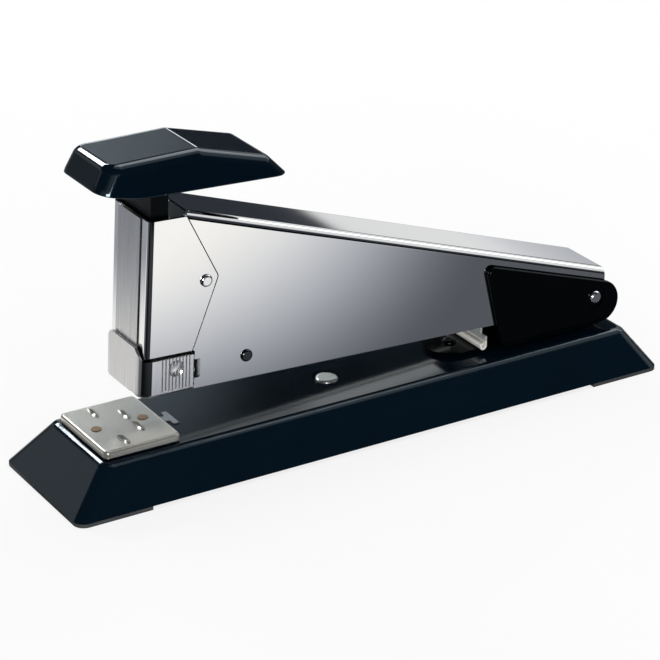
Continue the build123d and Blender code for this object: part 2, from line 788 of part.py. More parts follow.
# Driver blade and its rivets, flush with the blade's face
drawer_floor = drawer_bottom + drawer_sheet
staple_low = drawer_floor + fit_gap
staple_top = staple_low + staple_height
blade_tip = staple_top + pass_gap
blade_head = nose_top - 2.5
with BuildPart() as driver_blade:
    with BuildSketch(along(blade_front)):
        with Locations((0, (blade_tip + blade_head) / 2)):
            Rectangle(blade_width, blade_head - blade_tip)
        with Locations((-driver_rivet_y, driver_rivet_z), (driver_rivet_y, driver_rivet_z)):
            Circle(driver_rivet_radius + fit_gap, mode=Mode.SUBTRACT)
    extrude(amount=blade_sheet)
driver_blade.part.label = "driver_blade"
export_step(driver_blade.part, "parts/driver_blade.step")

with BuildPart() as driver_rivets:
    with BuildSketch(along(blade_front)):
        with Locations((-driver_rivet_y, driver_rivet_z), (driver_rivet_y, driver_rivet_z)):
            Circle(driver_rivet_radius)
    extrude(amount=neck_rear - blade_front)
driver_rivets.part.label = "driver_rivets"
export_step(driver_rivets.part, "parts/driver_rivets.step")

# Head cap: a hollow moulding with a socket for the plunger
brow = (10.9, 8.55)
ridge = (13.8, 9.75)
heel = (33.0, 5.35)
tail_reach = 43.1
foot_reach = 13.2
head_depth = 4.4
chin_reach = (2.5, 8.3, 20.0)
chin_rise = (1.0, 3.6)
chin_tip = (14.1, 2.1)
chin_round = 12.0
head_top = [
    (nose_front - brow[0], head_bottom + brow[1]),
    (nose_front + ridge[0], head_bottom + ridge[1]),
    (nose_front + heel[0], head_bottom + heel[1]),
]
head_front = (nose_front - chin_tip[0], head_bottom + chin_tip[1])
head_ends = [
    (nose_front + tail_reach, head_bottom - head_depth),
    (nose_front - foot_reach, head_bottom - head_depth),
]
chin = [
    (nose_front - chin_reach[0], head_bottom),
    (nose_front - chin_reach[1], head_bottom + chin_rise[0]),
    (nose_front - chin_reach[2], head_bottom + chin_rise[1]),
]
head_lip = 0.3
socket_front = blade_rear - head_wall
socket_rear = neck_rear + head_wall
hollows = [(head_top[0][0] + head_corner, socket_front), (socket_rear, head_top[2][0] - head_wall)]
with BuildPart() as head_cap:
    with BuildSketch(arm_side):
        Polygon(*head_top, *head_ends, head_front, align=None)
    extrude(amount=head_width, both=True)
    with BuildSketch(along(head_ends[1][0] - head_width)):
        lean_in = head_draft / ridge[1]
        low_half = head_width / 2 + lean_in * head_depth
        high_half = head_width / 2 - lean_in * (ridge[1] + head_depth)
        Polygon(
            (-low_half, head_bottom - head_depth),
            (low_half, head_bottom - head_depth),
            (high_half, head_bottom + ridge[1] + head_depth),
            (-high_half, head_bottom + ridge[1] + head_depth),
            align=None,
        )
    extrude(amount=tail_reach + 4 * head_width, mode=Mode.INTERSECT)
    fillet(head_cap.edges().filter_by(Axis.Y).sort_by(Axis.X)[0], head_chin)
    fronts = head_cap.faces().filter_by(lambda f: f.normal_at().X < -0.5)
    fillet([e for e in fronts.edges() if abs(e.center().Y) > neck_width / 2], head_corner)
    crown = head_cap.faces().filter_by(lambda f: f.normal_at().Z > 0.4)
    foot_line = head_cap.faces().sort_by(Axis.Z)[0].edges()
    fillet([e for e in crown.edges() if e not in foot_line], head_edge)
    with BuildSketch(arm_side) as above_chin:
        Polygon(
            *chin,
            (chin[2][0], 2 * head_bottom),
            (0, 2 * head_bottom),
            (0, head_bottom),
            align=None,
        )
        for x, z in chin[:2]:
            fillet(above_chin.vertices().sort_by_distance((x, z, 0))[0], chin_round)
    extrude(amount=head_width, both=True, mode=Mode.INTERSECT)
    underside = [f.edges() for f in head_cap.faces().filter_by(lambda f: f.normal_at().Z < -0.9)]
    rim = [e for edges in underside for e in edges if sum(e in others for others in underside) == 1]
    fillet(rim, head_lip)
    for first, last in hollows:
        with BuildSketch(arm_side):
            with Locations((0, -head_wall)):
                Polygon(*head_top, *head_ends, align=None)
            with Locations(((first + last) / 2, head_bottom)):
                Rectangle(last - first, head_width, mode=Mode.INTERSECT)
        extrude(amount=head_width / 2 - head_skin, both=True, mode=Mode.SUBTRACT)
    with BuildSketch(arm_side):
        with Locations(((blade_rear + neck_rear) / 2, plunger_top)):
            Rectangle(neck_rear - blade_rear, plunger_top - plunger_low, align=(Align.CENTER, Align.MAX))
    extrude(amount=plunger_half, both=True, mode=Mode.SUBTRACT)
    with BuildSketch(along(socket_front)):
        with Locations((0, head_pin_z)):
            Circle(head_pin_radius + fit_gap)
    extrude(amount=socket_rear - socket_front, mode=Mode.SUBTRACT)
head_cap.part.label = "head_cap"
export_step(head_cap.part, "parts/head_cap.step")

with BuildPart() as head_pin:
    with BuildSketch(along(socket_front)):
        with Locations((0, head_pin_z)):
            Circle(head_pin_radius)
    extrude(amount=socket_rear - socket_front)
head_pin.part.label = "head_pin"
export_step(head_pin.part, "parts/head_pin.step")

# Return spring: from its seat on the inner frame up to the plunger's foot
return_x = (blade_rear + plunger_foot_rear) / 2
return_low = seat_low + seat_sheet
return_seat = Plane(origin=hinge + turned(return_x, return_low), x_dir=turned(1, 0), z_dir=turned(0, 1))
return_spring = coil(return_seat, return_radius, return_wire, plunger_low - return_low, 8)
return_spring.label = "return_spring"
export_step(return_spring, "parts/return_spring.step")

# Magazine channel: the drawer, a trough hung by its flanges on the frame's lips
staple_front = blade_rear + 0.4
flange_half = frame_inner - slide_gap
flange_front = cap_rear + slide_gap
with BuildPart() as magazine_channel:
    with BuildSketch(along(staple_front)):
        with Locations((0, drawer_bottom)):
            Rectangle(2 * drawer_half, drawer_top - drawer_bottom, align=(Align.CENTER, Align.MIN))
        with Locations((0, drawer_floor)):
            inside = 2 * (drawer_half - drawer_sheet)
            Rectangle(inside, drawer_top - drawer_floor, align=(Align.CENTER, Align.MIN), mode=Mode.SUBTRACT)
    extrude(amount=drawer_end - staple_front)
    with BuildSketch(along(flange_front)):
        flange = flange_half - drawer_half
        with Locations((drawer_half + flange / 2, drawer_top), (-drawer_half - flange / 2, drawer_top)):
            Rectangle(flange, drawer_sheet, align=(Align.CENTER, Align.MAX))
    extrude(amount=drawer_end - flange_front)
magazine_channel.part.label = "magazine_channel"
export_step(magazine_channel.part, "parts/magazine_channel.step")

# Magazine front: a cast cap round the channel's end, ribbed on both sides with a thumb dish in each pad
cap_rise = 0.5
cap_edge = 0.8
rib_pitch = 0.95
rib_count = 9
rib_groove = 0.4
rib_low = -2.0
rib_high = 7.0
pad_x = nose_front + 8.2
dish_radius = 5.0
dish_depth = 0.5
dish_z = 4.0
plate_slope = plate_top - cap_top
with BuildPart() as magazine_front:
    with BuildSketch(arm_plan.offset(drawer_bottom)):
        with Locations((cap_rear, 0)):
            RectangleRounded(2 * cap_length, cap_width, cap_corner)
    extrude(amount=plate_top - drawer_bottom)
    with BuildSketch(along(cap_front)) as cap_face:
        Polygon(
            (-cap_width / 2, drawer_bottom),
            (cap_width / 2, drawer_bottom),
            (cap_width / 2, cap_top),
            (plate_width / 2 + plate_slope, cap_top),
            (plate_width / 2, plate_top),
            (-plate_width / 2, plate_top),
            (-plate_width / 2 - plate_slope, cap_top),
            (-cap_width / 2, cap_top),
            align=None,
        )
    extrude(amount=cap_length, mode=Mode.INTERSECT)
    with BuildSketch(arm_side):
        with BuildLine():
            Polyline(
                (cap_front, drawer_bottom),
                (cap_rear, drawer_bottom + cap_rise),
                (cap_rear, cap_top),
                (nose_foot - slide_gap, cap_top),
                (nose_foot - slide_gap, plate_top),
                (cap_front, plate_top),
                close=True,
            )
        make_face()
    extrude(amount=cap_width, both=True, mode=Mode.INTERSECT)
    fillet(magazine_front.faces().sort_by(Axis.Z)[0].edges(), cap_edge)
    with BuildSketch(arm_plan.offset(drawer_bottom)):
        with Locations((nose_front + arm_sheet, 0)):
            Rectangle(2 * cap_length, 2 * drawer_half, align=(Align.MIN, Align.CENTER))
    extrude(amount=plate_top - drawer_bottom, mode=Mode.SUBTRACT)
    for side in (-1, 1):
        with BuildSketch(arm_side.offset(side * cap_width / 2)):
            with Locations((pad_x, (rib_low + rib_high) / 2)):
                with GridLocations(rib_pitch, 1, rib_count, 1):
                    Rectangle(rib_groove, rib_high - rib_low)
        extrude(amount=-side * rib_groove, mode=Mode.SUBTRACT)
        dish = hinge + turned(pad_x, dish_z) - Vector(0, side * (cap_width / 2 + dish_radius - dish_depth), 0)
        with Locations(dish):
            Sphere(dish_radius, mode=Mode.SUBTRACT)
magazine_front.part.label = "magazine_front"
export_step(magazine_front.part, "parts/magazine_front.step")

# Staple rail: an inverted channel with a slot along its top and a web at its front
rail_half = staple_width / 2 - staple_wire - slide_gap
rail_sheet = 0.5
rail_top = staple_top - staple_wire - fit_gap
rail_end = drawer_end - 1.0
slot_half = 0.8
rod_radius = 0.9
rod_z = 0.2
with BuildPart() as staple_rail:
    with BuildSketch(along(staple_front)):
        with Locations((0, rail_top)):
            Rectangle(2 * rail_half, rail_top - drawer_floor, align=(Align.CENTER, Align.MAX))
        with Locations((0, rail_top - rail_sheet)):
            inside = 2 * (rail_half - rail_sheet)
            Rectangle(inside, rail_top - drawer_floor, align=(Align.CENTER, Align.MAX), mode=Mode.SUBTRACT)
        with Locations((0, rail_top)):
            Rectangle(2 * slot_half, 2 * rail_sheet, mode=Mode.SUBTRACT)
    extrude(amount=rail_end - staple_front)
    with BuildSketch(along(staple_front)):
        with Locations((0, rail_top)):
            Rectangle(2 * rail_half, rail_top - drawer_floor, align=(Align.CENTER, Align.MAX))
        with Locations((0, rod_z)):
            Circle(rod_radius + fit_gap, mode=Mode.SUBTRACT)
    extrude(amount=2 * rail_sheet)
staple_rail.part.label = "staple_rail"
export_step(staple_rail.part, "parts/staple_rail.step")

# Staple strip: astride the rail
with BuildPart() as staple_strip:
    with BuildSketch(along(staple_front)):
        with Locations((0, staple_top)):
            Rectangle(staple_width, staple_height, align=(Align.CENTER, Align.MAX))
        with Locations((0, staple_top - staple_wire)):
            inside = staple_width - 2 * staple_wire
            Rectangle(inside, staple_height, align=(Align.CENTER, Align.MAX), mode=Mode.SUBTRACT)
    extrude(amount=strip_length)
staple_strip.part.label = "staple_strip"
export_step(staple_strip.part, "parts/staple_strip.step")

# Pusher: astride the rail behind the strip, with a stem through the slot to a ring on the rod
pusher_front = staple_front + strip_length + slide_gap
ring_radius = 2.2
stem_half = slot_half - slide_gap
with BuildPart() as pusher:
    with BuildSketch(along(pusher_front)):
        with Locations((0, staple_top)):
            Rectangle(staple_width, staple_height - pass_gap, align=(Align.CENTER, Align.MAX))
        with Locations((0, rail_top + slide_gap)):
            inside = 2 * (rail_half + slide_gap)
            Rectangle(inside, staple_height, align=(Align.CENTER, Align.MAX), mode=Mode.SUBTRACT)
        with Locations((0, rod_z)):
            Rectangle(2 * stem_half, staple_top - rod_z, align=(Align.CENTER, Align.MIN))
            Circle(ring_radius)
            Circle(rod_radius + pass_gap, mode=Mode.SUBTRACT)
    extrude(amount=pusher_length)
pusher.part.label = "pusher"
export_step(pusher.part, "parts/pusher.step")

# Magazine end plate: closes the drawer behind the rail and holds the rod
with BuildPart() as magazine_end:
    with BuildSketch(along(rail_end)):
        with Locations((0, drawer_floor)):
            inside = 2 * (drawer_half - drawer_sheet)
            Rectangle(inside, rail_top - drawer_floor, align=(Align.CENTER, Align.MIN))
        with Locations((0, rod_z)):
            Circle(rod_radius + fit_gap, mode=Mode.SUBTRACT)
    extrude(amount=drawer_end - rail_end)
magazine_end.part.label = "magazine_end"
export_step(magazine_end.part, "parts/magazine_end.step")

with BuildPart() as spring_rod:
    with BuildSketch(along(staple_front)):
        with Locations((0, rod_z)):
            Circle(rod_radius)
    extrude(amount=drawer_end - staple_front)
spring_rod.part.label = "spring_rod"
export_step(spring_rod.part, "parts/spring_rod.step")

# Pusher spring: round the rod, from the pusher's ring to the end plate
pusher_rear = pusher_front + pusher_length
pusher_spring = coil(along(pusher_rear, rod_z), pusher_coil_radius, pusher_wire, rail_end - pusher_rear, 16)
pusher_spring.label = "pusher_spring"
export_step(pusher_spring, "parts/pusher_spring.step")
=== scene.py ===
import json
import math

import bmesh
import bpy
from mathutils import Matrix, Vector


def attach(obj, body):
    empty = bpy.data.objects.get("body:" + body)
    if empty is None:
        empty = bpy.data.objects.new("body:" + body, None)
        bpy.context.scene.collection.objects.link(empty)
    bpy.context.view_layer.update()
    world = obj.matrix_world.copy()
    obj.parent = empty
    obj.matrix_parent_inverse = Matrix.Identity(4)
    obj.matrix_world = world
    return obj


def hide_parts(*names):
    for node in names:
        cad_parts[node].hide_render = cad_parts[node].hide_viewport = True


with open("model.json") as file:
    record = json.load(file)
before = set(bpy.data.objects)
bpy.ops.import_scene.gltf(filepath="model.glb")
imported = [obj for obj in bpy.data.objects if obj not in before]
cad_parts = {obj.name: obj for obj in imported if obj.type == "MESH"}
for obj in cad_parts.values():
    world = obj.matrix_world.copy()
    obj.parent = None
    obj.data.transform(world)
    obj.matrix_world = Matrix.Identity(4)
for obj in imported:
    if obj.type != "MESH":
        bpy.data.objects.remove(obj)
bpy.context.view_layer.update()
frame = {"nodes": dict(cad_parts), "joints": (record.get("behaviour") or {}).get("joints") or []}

# Base shell
# A shallow tray pressed from sheet steel, open below, with sloped sides and rounded edges.
# It is stove enamelled in a glossy blue-black that flows out with a faint orange peel.


class Wire:
    """A socket in a node tree. Arithmetic on wires adds the Math nodes that work it out."""

    def __init__(self, tree, socket=None):
        self.tree = tree
        self.socket = socket

    def node(self, kind, settings=None, inputs=None, output=0):
        """Adds a node: its settings first, then the values or wires of its sockets."""
        made = self.tree.nodes.new(kind)
        for name, value in (settings or {}).items():
            setattr(made, name, value)
        for name, value in (inputs or {}).items():
            if isinstance(value, Wire):
                self.tree.links.new(value.socket, made.inputs[name])
            else:
                made.inputs[name].default_value = value
        return Wire(self.tree, made.outputs[output] if made.outputs else None)

    def math(self, operation, first, second=0.0):
        return self.node("ShaderNodeMath", {"operation": operation}, {0: first, 1: second})

    def __add__(self, other):
        return self.math("ADD", self, other)

    def __radd__(self, other):
        return self.math("ADD", other, self)

    def __sub__(self, other):
        return self.math("SUBTRACT", self, other)

    def __rsub__(self, other):
        return self.math("SUBTRACT", other, self)

    def __mul__(self, other):
        return self.math("MULTIPLY", self, other)

    def __rmul__(self, other):
        return self.math("MULTIPLY", other, self)

    def most(self, other):
        return self.math("MAXIMUM", self, other)

    def least(self, other):
        return self.math("MINIMUM", self, other)

    def rise(self, low, high):
        """0 below low, 1 above high, smooth between them. With high under low it falls."""
        settings = {"interpolation_type": "SMOOTHSTEP"}
        if high > low:
            return self.node("ShaderNodeMapRange", settings, {0: self, 1: low, 2: high})
        return 1 - self.rise(high, low)

    def tint(self, low, high):
        """A colour that goes from low to high, colours or wires, as the wire goes from 0 to 1."""
        ends = [end if isinstance(end, Wire) else (*end, 1) for end in (low, high)]
        # The Mix node's colours are its inputs 6 and 7 and its output 2.
        return self.node("ShaderNodeMix", {"data_type": "RGBA"}, {0: self, 6: ends[0], 7: ends[1]}, 2)

    def times(self, factor):
        """A colour or place made larger by a factor."""
        return self.node("ShaderNodeVectorMath", {"operation": "SCALE"}, {0: self, "Scale": factor})

    def stretched(self, x, y, z):
        """A place scaled along each axis."""
        return self.node("ShaderNodeVectorMath", {"operation": "MULTIPLY"}, {0: self, 1: (x, y, z)})

    def part(self, axis):
        """One of a place's three numbers, 0 to 2."""
        return self.node("ShaderNodeSeparateXYZ", None, {0: self}, axis)

    def noise(self, scale, detail):
        return self.node("ShaderNodeTexNoise", None, {"Vector": self, "Scale": scale, "Detail": detail})

    def bump(self, strength, depth):
        """A normal that follows the wire as a height of so many metres."""
        return self.node("ShaderNodeBump", None, {"Height": self, "Strength": strength, "Distance": depth})


def new_finish(name):
    """An empty finish, its shader, and the place on the surface in metres."""
    material = bpy.data.materials.new(name)
    material.use_nodes = True
    shader = material.node_tree.nodes["Principled BSDF"]
    place = Wire(material.node_tree).node("ShaderNodeTexCoord", output="Object")
    return material, shader, place


def set_sockets(shader, **values):
    """Sets or links a shader's sockets, named in lower case with low lines for spaces."""
    for socket in shader.inputs:
        key = socket.name.lower().replace(" ", "_")
        if key not in values:
            continue
        value = values[key]
        if isinstance(value, Wire):
            value.tree.links.new(value.socket, socket)
        else:
            socket.default_value = value


def dress(material, *nodes):
    """Puts a finish on solids of the frame."""
    for node in nodes:
        for slot in frame["nodes"][node].material_slots:
            slot.material = material


grain_depth = 0.00002


def gloss_black(name, low, high, roughness, peel_size, peel_strength, shine=0.5):
    """A glossy black coat: two close shades in soft clouds, and an orange peel of a set size."""
    blue_sheen = (0.70, 0.88, 1.0, 1.0)
    haze_share = 0.05
    material, shader, place = new_finish(name)
    clouds = place.noise(scale=60.0, detail=3.0)
    haze = place.noise(scale=350.0, detail=4.0)
    peel = place.noise(scale=1.0 / peel_size, detail=1.0)
    set_sockets(
        shader,
        base_color=clouds.tint(low, high),
        roughness=roughness + haze_share * haze,
        specular_ior_level=shine,
        specular_tint=blue_sheen,
        normal=peel.bump(peel_strength, grain_depth),
    )
    return material


enamel = gloss_black(
    "black_enamel",
    low=(0.0007, 0.0034, 0.0070),
    high=(0.0011, 0.0052, 0.0100),
    roughness=0.08,
    peel_size=0.0016,
    peel_strength=0.12,
)
dress(enamel, "base_shell")

# Hinge bracket
# A folded U of thicker sheet: a floor tongue riveted to the tray and two ears that hold the pin.
# It is given a deeper black and less shine than the tray, as painted shade.

bracket_black = gloss_black(
    "bracket_black",
    low=(0.0003, 0.0006, 0.0009),
    high=(0.0006, 0.0010, 0.0014),
    roughness=0.10,
    peel_size=0.0012,
    peel_strength=0.15,
    shine=0.10,
)
dress(bracket_black, "hinge_bracket", "bracket_rivets")

# Feet
# Two moulded rubber pads pushed into the tray's ends. The rubber is matt, dark grey and
# slightly pitted, with a paler bloom in patches.


def rubber_finish():
    matt = 0.55
    bloom_share = 0.2
    pit_depth = 0.0001
    material, shader, place = new_finish("rubber")
    pits = place.noise(scale=1800.0, detail=3.0)
    bloom = place.noise(scale=140.0, detail=4.0)
    set_sockets(
        shader,
        base_color=bloom.tint(low=(0.020, 0.021, 0.023), high=(0.045, 0.047, 0.050)),
        roughness=matt + bloom_share * bloom,
        normal=pits.bump(strength=0.35, depth=pit_depth),
    )
    return material


dress(rubber_finish(), "front_foot", "rear_foot")

# Base stiffener and the other plain steel pieces
# Cut and formed from bright strip steel, left bare: it shows the rolling lines along its
# length, with a duller film in patches.

lengthwise = 0
crosswise = 1
upright = 2


def plain_steel(name, low, high, roughness, along):
    """Bare steel with fine rolling lines along one axis."""
    lines_across = 5000.0
    lines_along = 90.0
    film_share = 0.12
    line_share = 0.06
    material, shader, place = new_finish(name)
    scale = [lines_across, lines_across, lines_across]
    scale[along] = lines_along
    lines = place.stretched(*scale).noise(scale=1.0, detail=2.0)
    film = place.noise(scale=120.0, detail=3.0)
    set_sockets(
        shader,
        base_color=film.tint(low, high),
        metallic=1.0,
        roughness=roughness + film_share * film + line_share * lines,
        normal=lines.bump(strength=0.10, depth=grain_depth),
    )
    return material


strip_steel = plain_steel(
    "strip_steel",
    low=(0.42, 0.42, 0.43),
    high=(0.56, 0.56, 0.57),
    roughness=0.22,
    along=lengthwise,
)
dress(strip_steel, "base_stiffener", "inner_frame", "staple_rail", "magazine_end", "pusher")

# Drawer channel and driver blade
# The channel that holds the staples is folded from polished strip. The blade is cut from thin
# strip that stands upright, so its lines run up and down.

drawer_steel = plain_steel(
    "drawer_steel",
    low=(0.70, 0.71, 0.73),
    high=(0.84, 0.85, 0.86),
    roughness=0.04,
    along=lengthwise,
)
dress(drawer_steel, "magazine_channel")
upright_steel = plain_steel(
    "upright_steel",
    low=(0.46, 0.46, 0.47),
    high=(0.60, 0.60, 0.61),
    roughness=0.20,
    along=upright,
)
dress(upright_steel, "driver_blade")

# Turned and wound steel
# Studs, clips, rods and coiled springs are drawn or turned from wire and bar, so their
# surface has no rolling lines. The springs are darker, with a light grey-blue temper.


def drawn_steel(name, low, high, roughness):
    temper_share = 0.1
    material, shader, place = new_finish(name)
    temper = place.noise(scale=260.0, detail=3.0)
    grain = place.noise(scale=2600.0, detail=2.0)
    set_sockets(
        shader,
        base_color=temper.tint(low, high),
        metallic=1.0,
        roughness=roughness + temper_share * temper,
        normal=grain.bump(strength=0.05, depth=grain_depth),
    )
    return material


turned = drawn_steel("turned_steel", low=(0.44, 0.44, 0.45), high=(0.58, 0.58, 0.58), roughness=0.20)
dress(turned, "anvil_pivot", "anvil_clip", "anvil_washer", "hinge_bush")
dress(turned, "driver_rivets", "head_pin", "spring_rod")
spring_wire = drawn_steel("spring_wire", low=(0.30, 0.31, 0.33), high=(0.46, 0.47, 0.49), roughness=0.18)
dress(spring_wire, "anvil_spring", "return_spring", "pusher_spring")

# Arm and nose
# The arm is a channel folded from sheet steel, the nose a second shell let into it with a
# pointed wing on each side. Both are plated with bright chrome; the nose's front is satin, and
# painted darker as painted shade.


def shaded(colour, share):
    """A darker shade of a colour."""
    return tuple(share * part for part in colour)


def bright_chrome(name, colour, roughness, satin=0.0, satin_half=-0.001, ribs_from=1.0):
    """Polished plating. Faces that don't look back, within satin_half of the middle, are brushed
    upright to a satin and painted darker as painted shade, and the sides behind ribs_from are duller.
    By default it is polished all over."""
    satin_edge = 0.0001
    rib_edge = 0.0008
    wipe_share = 0.05
    haze_share = 0.015
    brush_share = 0.06
    rib_share = 0.16
    dark = shaded(colour, 0.96)
    matt = shaded(colour, 0.30)
    material, shader, place = new_finish(name)
    facing = place.node("ShaderNodeTexCoord", output="Normal").part(0)
    off_middle = place.math("ABSOLUTE", place.part(1))
    front = (0 - facing).rise(-0.5, 0.0) * off_middle.rise(satin_half + satin_edge, satin_half)
    ribbed = place.part(0).rise(ribs_from, ribs_from + rib_edge) * (1 - front)
    brushed = place.stretched(x=400.0, y=7000.0, z=60.0).noise(scale=1.0, detail=3.0)
    haze = place.noise(scale=90.0, detail=4.0)
    wipe = place.stretched(x=160.0, y=3000.0, z=3000.0).noise(scale=1.0, detail=2.0)
    marks = front * brushed + (1 - front) * (wipe_share * wipe)
    plated = haze.tint(dark, colour)
    # Painted shade: the brushed faces get a colour well below the plating's.
    rubbed = brushed.tint(matt, dark)
    satin_more = front * (satin - roughness + brush_share * brushed)
    set_sockets(
        shader,
        base_color=front.tint(plated, rubbed),
        metallic=1.0,
        roughness=roughness + haze_share * haze + satin_more + rib_share * ribbed,
        normal=marks.bump(strength=0.06, depth=grain_depth),
    )
    return material


chrome_colour = (0.86, 0.865, 0.87)
chrome = bright_chrome("bright_chrome", chrome_colour, roughness=0.02)
dress(chrome, "arm_shell", "nose_rivets", "hinge_pin")
nose_chrome = bright_chrome("nose_chrome", chrome_colour, roughness=0.03, satin=0.24, satin_half=0.0058)
dress(nose_chrome, "nose_shell")

# Drawer cap
# The front of the staple drawer, folded from sheet steel, with ribs pressed into its sides for
# the fingers. It is chrome plated; the front is brushed and painted darker as painted shade, and
# the ribs are a little duller.

drawer_chrome = bright_chrome(
    "drawer_chrome",
    colour=(0.92, 0.925, 0.93),
    roughness=0.05,
    satin=0.26,
    satin_half=0.0085,
    ribs_from=-0.0618,
)
dress(drawer_chrome, "magazine_front")

# Base rivet and frame rivets
# Headed steel rivets, pressed in cold. The base rivet's broad head is plated to a soft sheen,
# and the two low on the arm's sides are given a nearly black colour.

dress(bright_chrome("rivet_chrome", colour=(0.62, 0.66, 0.63), roughness=0.26), "base_rivet")
dress(bright_chrome("black_chrome", colour=(0.07, 0.073, 0.077), roughness=0.12), "frame_rivets")

# Anvil plate, its rivets and the latch
# The plate is a thick stamping, nickel plated to a warm satin, with its clinching grooves
# coined in. Two copper-plated rivets hold it to its pivot. The latch is a plain nickel tongue.


def warm_nickel(name, low, high, roughness, metal=1.0):
    cloud_share = 0.05
    rub_share = 0.03
    material, shader, place = new_finish(name)
    cloud = place.noise(scale=110.0, detail=4.0)
    rubbed = place.stretched(x=3600.0, y=200.0, z=3600.0).noise(scale=1.0, detail=2.0)
    set_sockets(
        shader,
        base_color=cloud.tint(low, high),
        metallic=metal,
        roughness=roughness + cloud_share * cloud + rub_share * rubbed,
        normal=rubbed.bump(strength=0.05, depth=grain_depth),
    )
    return material


anvil_nickel = warm_nickel(
    "anvil_nickel",
    low=(0.43, 0.42, 0.385),
    high=(0.53, 0.52, 0.485),
    roughness=0.17,
    metal=0.8,
)
dress(anvil_nickel, "anvil_plate")
latch_nickel = warm_nickel("latch_nickel", low=(0.36, 0.37, 0.38), high=(0.46, 0.47, 0.48), roughness=0.14)
dress(latch_nickel, "anvil_latch")
rivet_copper = warm_nickel("rivet_copper", low=(0.14, 0.09, 0.048), high=(0.23, 0.15, 0.08), roughness=0.24)
dress(rivet_copper, "anvil_rivets")

# Lift spring
# A leaf of tempered steel that holds the arm up off the base. The leaf is dull zinc, painted
# darker above its foot as painted shade; its foot, rolled into a tube, is painted pale as a
# painted highlight, and is also smoother.


def leaf_finish():
    shade_above = 0.0160
    highlight_below = 0.0153
    matt = 0.34
    foot_gloss_share = 0.12
    cloud_share = 0.05
    material, shader, place = new_finish("leaf_zinc")
    cloud = place.noise(scale=160.0, detail=4.0)
    across = place.stretched(x=3000.0, y=160.0, z=3000.0).noise(scale=1.0, detail=2.0)
    # Painted highlight: below this height the foot is painted pale; above it the flat is painted darker as
    # shade.
    foot_highlight = place.part(2).rise(shade_above, highlight_below)
    dull = cloud.tint(low=(0.34, 0.37, 0.37), high=(0.46, 0.49, 0.48))
    bright = across.tint(low=(0.86, 0.84, 0.78), high=(0.96, 0.95, 0.91))
    set_sockets(
        shader,
        base_color=foot_highlight.tint(dull, bright),
        metallic=0.35,
        roughness=matt - foot_gloss_share * foot_highlight + cloud_share * cloud,
        normal=across.bump(strength=0.08, depth=grain_depth),
    )
    return material


dress(leaf_finish(), "lift_spring")

# Head and its neck
# The head is a hollow cap moulded in glossy black plastic. The neck below it is the same
# plastic with a finely blasted face, and runs down into the nose. Its darker colour and lower
# shine than the head's are painted shade under the head.

plastic = gloss_black(
    "black_plastic",
    low=(0.0006, 0.0028, 0.0058),
    high=(0.0010, 0.0044, 0.0085),
    roughness=0.05,
    peel_size=0.0022,
    peel_strength=0.10,
)
dress(plastic, "head_cap")
neck_plastic = gloss_black(
    "neck_plastic",
    low=(0.0002, 0.0004, 0.0006),
    high=(0.0005, 0.0008, 0.0010),
    roughness=0.30,
    peel_size=0.0006,
    peel_strength=0.3,
    shine=0.1,
)
dress(neck_plastic, "plunger")

# Strip of staples
# A glued row of bent wire, galvanised, lying saddle-wise over the rail. Each staple is its own
# wire, flattened where it was rolled, with round bends at the crown.

joints = {joint["name"]: joint for joint in frame["joints"]}
hinge = Vector(joints["arm_press"]["pos_m"])
arm_x = Vector(joints["magazine_slide"]["axis"])
arm_z = arm_x.cross(Vector((0, 1, 0)))
staple_front = -0.1349
staple_top = 0.00395
staple_half = 0.00645
staple_height = 0.0064
staple_bend = 0.0009
bend_steps = 6
wire_size = 0.0005
wire_roll = 0.00008
glue_line = 0.00001
staple_count = 80


def staple_line(inset):
    """The outline of a staple in its own plane, from one leg's tip to the other, drawn in by an inset."""
    bend = staple_bend - inset
    half = staple_half - inset
    top = staple_top - inset
    points = [(-half, staple_top - staple_height)]
    for step in range(bend_steps + 1):
        turn = math.pi / 2 * step / bend_steps
        points.append((-half + bend * (1 - math.cos(turn)), top - bend * (1 - math.sin(turn))))
    return points + [(-y, z) for y, z in reversed(points)]


def staple_row():
    """All the staples as one mesh: each a square wire with its corners rolled off."""
    near = wire_roll
    far = wire_size - wire_roll
    section = [(0.0, near), (near, 0.0), (far, 0.0), (wire_size, near)]
    section += [(wire_size, far), (far, wire_size), (near, wire_size), (0.0, far)]
    mesh = bmesh.new()
    for count in range(staple_count):
        start_x = staple_front + count * wire_size
        rings = []
        for across, inset in section:
            along = start_x + min(max(across, glue_line), wire_size - glue_line)
            crossing = hinge + along * arm_x
            line = staple_line(inset)
            rings.append([mesh.verts.new(crossing + Vector((0, y, 0)) + z * arm_z) for y, z in line])
        sides = len(rings)
        for side in range(sides):
            first = rings[side]
            second = rings[(side + 1) % sides]
            for step in range(len(first) - 1):
                mesh.faces.new((first[step], first[step + 1], second[step + 1], second[step]))
        mesh.faces.new([ring[0] for ring in rings])
        mesh.faces.new([ring[-1] for ring in reversed(rings)])
    mesh.normal_update()
    bmesh.ops.recalc_face_normals(mesh, faces=mesh.faces)
    data = bpy.data.meshes.new("staples")
    mesh.to_mesh(data)
    mesh.free()
    return data


staple_wire = plain_steel(
    "staple_wire",
    low=(0.58, 0.58, 0.59),
    high=(0.70, 0.70, 0.71),
    roughness=0.24,
    along=crosswise,
)
staples = bpy.data.objects.new("staples", staple_row())
bpy.context.scene.collection.objects.link(staples)
staples.data.materials.append(staple_wire)
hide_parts("staple_strip")
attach(staples, "magazine")

# Floor
# A plain white table that keeps the stapler's shadow. In the metal it shows painted light and
# shade: painted shade along the near side, paler towards the viewer, a painted pale patch and
# bright band just behind, and a wedge of painted shade beside the nose.


def reach(x, y, way):
    """How far a place or a direction goes along a way in the table's plane."""
    return way[0] * x + way[1] * y


